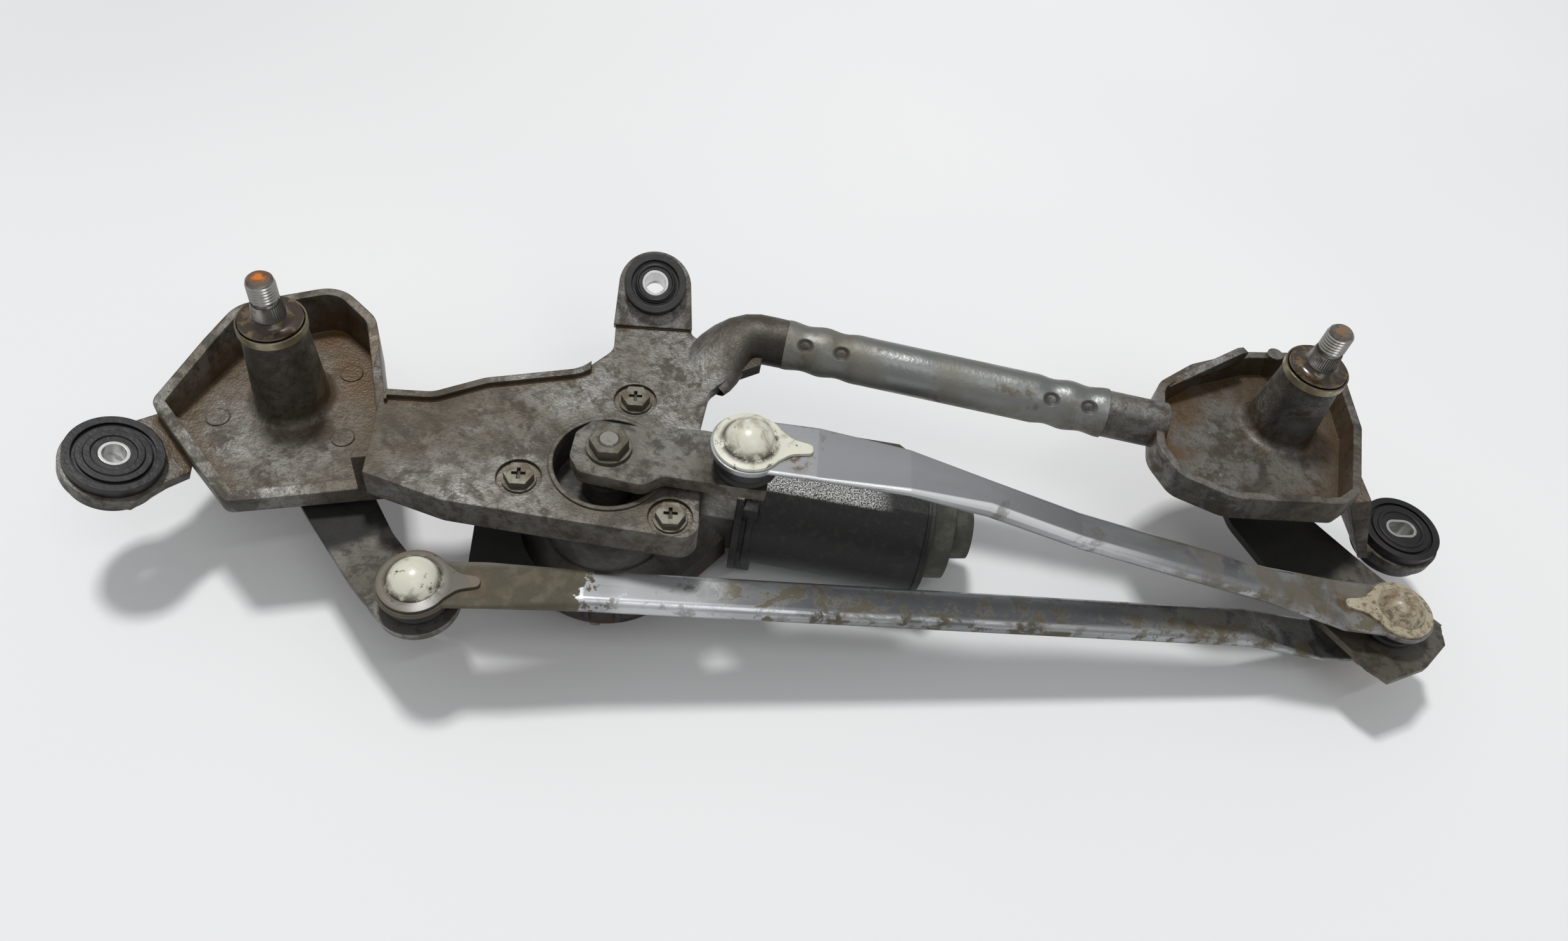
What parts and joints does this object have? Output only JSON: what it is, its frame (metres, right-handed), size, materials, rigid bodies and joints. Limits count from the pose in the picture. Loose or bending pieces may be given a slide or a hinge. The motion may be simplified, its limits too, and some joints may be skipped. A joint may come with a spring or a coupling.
{
  "type": "windshield wiper motor",
  "caption": "Windshield wiper motor with its cast brackets, cross tube, crank, levers and ball-jointed rods that swing two wiper shafts, on rubber-bushed mounting ears.",
  "frame": {"origin": "on the motor's output axis, in the top face of the motor plate", "axes": "+Z along the wiper shafts towards the wiper arms, +X along the line of the two pivots from left to right"},
  "size_m": [0.5809, 0.1645, 0.1289],
  "materials": {
    "cast_aluminium": "rough cast, stained",
    "tube_steel": "zinc plated, dull",
    "lever_steel": "plated, dirty",
    "rod_zinc": "bright zinc, worn",
    "shaft_steel": "turned, rusty at the tip",
    "cap_plate": "yellow plated, greasy",
    "black_rubber": "dull",
    "sleeve_steel": "bright zinc",
    "fastener_steel": "dull zinc",
    "cream_plastic": "satin, specked",
    "motor_steel": "dark grey, worn edges",
    "cover_steel": "black, rusty",
    "bearing_bronze": "sintered",
    "dark_plastic": "moulded",
    "wheel_nylon": "moulded",
    "magnet_ferrite": "sintered",
    "armature_iron": "laminated",
    "commutator_copper": "turned"
  },
  "bodies": {
    "frame": {"main_bracket": "cast_aluminium", "right_bracket": "cast_aluminium", "cross_tube": "tube_steel", "left_grommet": "black_rubber", "top_grommet": "black_rubber", "right_grommet": "black_rubber", "left_sleeve": "sleeve_steel", "top_sleeve": "sleeve_steel", "right_sleeve": "sleeve_steel", "left_pivot_bushes": "bearing_bronze", "right_pivot_bushes": "bearing_bronze", "left_pivot_cap": "cap_plate", "right_pivot_cap": "cap_plate", "gear_housing": "cast_aluminium", "gear_cover": "cover_steel", "output_bush": "bearing_bronze", "plate_screws": "fastener_steel", "cover_screws": "fastener_steel", "motor_yoke": "motor_steel", "field_magnets": "magnet_ferrite", "rear_bearing": "bearing_bronze", "front_bearing": "bearing_bronze", "brush_holder": "dark_plastic", "brushes": "magnet_ferrite", "connector": "dark_plastic"},
    "crank": {"crank_arm": "lever_steel", "crank_nut": "fastener_steel", "output_shaft": "shaft_steel", "worm_wheel": "wheel_nylon", "crank_ball_stud": "shaft_steel"},
    "armature": {"armature_shaft": "shaft_steel", "armature_core": "armature_iron", "commutator": "commutator_copper"},
    "right_wiper": {"right_pivot_shaft": "shaft_steel", "right_lever": "lever_steel", "right_lower_ball_stud": "shaft_steel"},
    "left_wiper": {"left_pivot_shaft": "shaft_steel", "left_lever": "lever_steel"},
    "crank_rod": {"upper_rod": "rod_zinc", "crank_socket": "cream_plastic", "right_upper_socket": "cream_plastic", "crank_boot": "black_rubber", "right_upper_boot": "black_rubber", "right_upper_ball_stud": "shaft_steel"},
    "tie_rod": {"lower_rod": "rod_zinc", "right_lower_socket": "cream_plastic", "left_socket": "cream_plastic", "right_lower_boot": "black_rubber", "left_boot": "black_rubber", "left_ball_stud": "shaft_steel"}
  },
  "joints": [
    {"name": "crank_turn", "type": "hinge", "parent": "frame", "child": "crank", "pos_m": [0, 0, 0], "axis": [0, 0, 1], "range_deg": [-180, 0]},
    {"name": "armature_spin", "type": "hinge", "parent": "frame", "child": "armature", "pos_m": [0.00499, 0.03222, -0.048], "axis": [0.9882, -0.153, 0], "range_deg": [-9000, 0]},
    {"name": "right_wiper_swing", "type": "hinge", "parent": "frame", "child": "right_wiper", "pos_m": [0.29, 0.046, -0.042], "axis": [0, 0, 1], "range_deg": [-72.02, 0]},
    {"name": "left_wiper_swing", "type": "hinge", "parent": "frame", "child": "left_wiper", "pos_m": [-0.1315, 0.046, -0.0335], "axis": [0, 0, 1], "range_deg": [-56.17, 0]},
    {"name": "crank_rod_turn", "type": "hinge", "parent": "crank", "child": "crank_rod", "pos_m": [0.05206, -0.00498, 0.021], "axis": [0, 0, 1], "range_deg": [0, 180.58]},
    {"name": "tie_rod_turn", "type": "hinge", "parent": "right_wiper", "child": "tie_rod", "pos_m": [0.33315, -0.03184, -0.055], "axis": [0, 0, 1], "range_deg": [0, 75.65]}
  ],
  "couplings": [
    {"joint": "armature_spin", "follows": "crank_turn", "ratio": 50},
    {"joint": "right_wiper_swing", "follows": "crank_turn", "ratio": 0.40012},
    {"joint": "left_wiper_swing", "follows": "crank_turn", "ratio": 0.31204},
    {"joint": "crank_rod_turn", "follows": "crank_turn", "ratio": -1.0032},
    {"joint": "tie_rod_turn", "follows": "crank_turn", "ratio": -0.42025}
  ]
}
